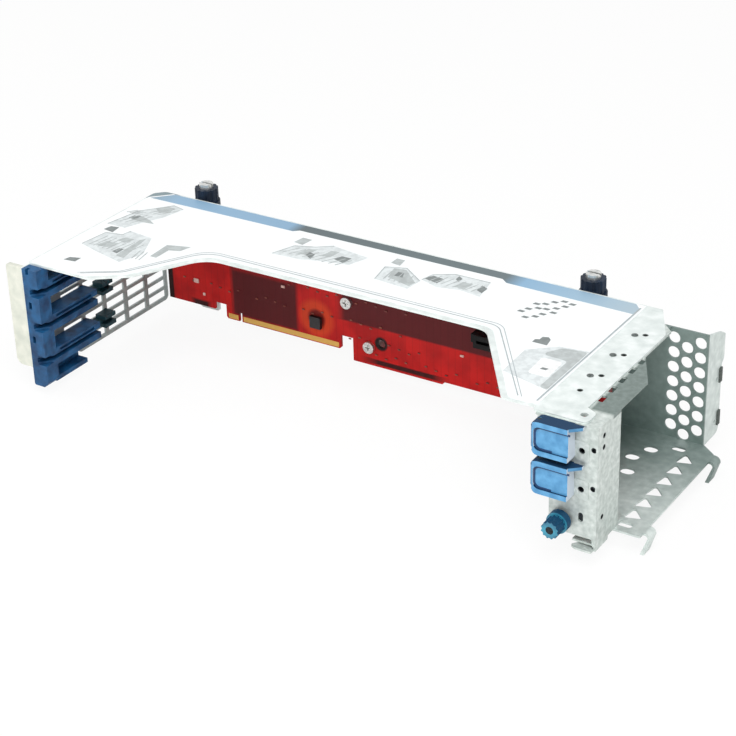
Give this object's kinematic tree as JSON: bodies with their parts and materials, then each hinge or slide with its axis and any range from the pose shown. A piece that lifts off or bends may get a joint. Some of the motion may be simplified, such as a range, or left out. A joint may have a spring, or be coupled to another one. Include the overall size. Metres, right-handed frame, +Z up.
{
  "type": "riser cage bracket",
  "caption": "Folded steel riser cage with a vertical riser board, stacked card slots, a slotted front wall, card guides, swinging latches and captive screws.",
  "frame": {"origin": "middle of the bounding box, level with the lowest point of the rear hooks", "axes": "+X from the slotted front wall towards the card brackets, +Y from the card side towards the back wall, +Z up through the top plate"},
  "size_m": [0.3714, 0.1509, 0.0836],
  "materials": {
    "cage_steel": "zinc-plated sheet, satin",
    "label_film": "white printed film, semi-gloss",
    "vent_steel": "zinc-plated sheet, satin, grey-green",
    "gasket": "conductive foam, matte",
    "fastener_steel": "bright zinc-plated steel",
    "board": "red solder mask on glass-fibre laminate",
    "contact_gold": "gold-plated copper",
    "connector_plastic": "moulded black",
    "chip_resin": "moulded black resin",
    "capacitor_can": "drawn can, satin",
    "guide_plastic": "moulded blue, fine texture",
    "latch_plastic": "moulded light blue, fine texture",
    "thumb_plastic": "moulded teal, ribbed",
    "grip_plastic": "moulded navy, ribbed",
    "spring_steel": "bright spring wire"
  },
  "bodies": {
    "cage": {"cage_shell": "cage_steel", "label": "label_film", "rear_frame": "cage_steel", "vent_panel": "vent_steel", "gasket_pads": "gasket", "rivets": "fastener_steel", "riser_board": "board", "edge_contacts": "contact_gold", "socket_upper": "connector_plastic", "socket_middle": "connector_plastic", "socket_lower": "connector_plastic", "board_chips": "chip_resin", "board_capacitors": "capacitor_can", "board_screws": "fastener_steel", "board_standoffs": "fastener_steel", "card_guide": "guide_plastic", "latch_pins": "fastener_steel", "bracket_left": "cage_steel", "bracket_right": "cage_steel", "captive_spring_left": "spring_steel", "captive_spring_right": "spring_steel"},
    "latch_upper": {"latch_upper": "latch_plastic"},
    "latch_lower": {"latch_lower": "latch_plastic"},
    "thumbscrew": {"thumb_grip": "thumb_plastic", "thumb_screw": "fastener_steel"},
    "captive_lift_left": {"captive_washer_left": "fastener_steel"},
    "captive_turn_left": {"captive_grip_left": "grip_plastic", "captive_screw_left": "fastener_steel"},
    "captive_lift_right": {"captive_washer_right": "fastener_steel"},
    "captive_turn_right": {"captive_grip_right": "grip_plastic", "captive_screw_right": "fastener_steel"}
  },
  "joints": [
    {"name": "latch_upper_swing", "type": "hinge", "parent": "cage", "child": "latch_upper", "pos_m": [0.14125, -0.06715, 0.0672], "axis": [0, 0, -1], "range_deg": [0, 75]},
    {"name": "latch_lower_swing", "type": "hinge", "parent": "cage", "child": "latch_lower", "pos_m": [0.14125, -0.06715, 0.04688], "axis": [0, 0, -1], "range_deg": [0, 75]},
    {"name": "thumbscrew_turn", "type": "hinge", "parent": "cage", "child": "thumbscrew", "pos_m": [0.15125, -0.06295, 0.0235], "axis": [0, -1, 0], "continuous": true},
    {"name": "captive_press_left", "type": "slide", "parent": "cage", "child": "captive_lift_left", "axis": [0, 0, -1], "range_m": [0, 0.005], "stiffness_N_per_m": 300, "springref_m": -0.0067, "deforming": ["captive_spring_left"]},
    {"name": "captive_turn_left", "type": "hinge", "parent": "captive_lift_left", "child": "captive_turn_left", "pos_m": [-0.14675, 0.06795, 0.0765], "axis": [0, 0, 1], "continuous": true},
    {"name": "captive_press_right", "type": "slide", "parent": "cage", "child": "captive_lift_right", "axis": [0, 0, -1], "range_m": [0, 0.005], "stiffness_N_per_m": 300, "springref_m": -0.0067, "deforming": ["captive_spring_right"]},
    {"name": "captive_turn_right", "type": "hinge", "parent": "captive_lift_right", "child": "captive_turn_right", "pos_m": [0.10025, 0.06795, 0.0765], "axis": [0, 0, 1], "continuous": true}
  ]
}
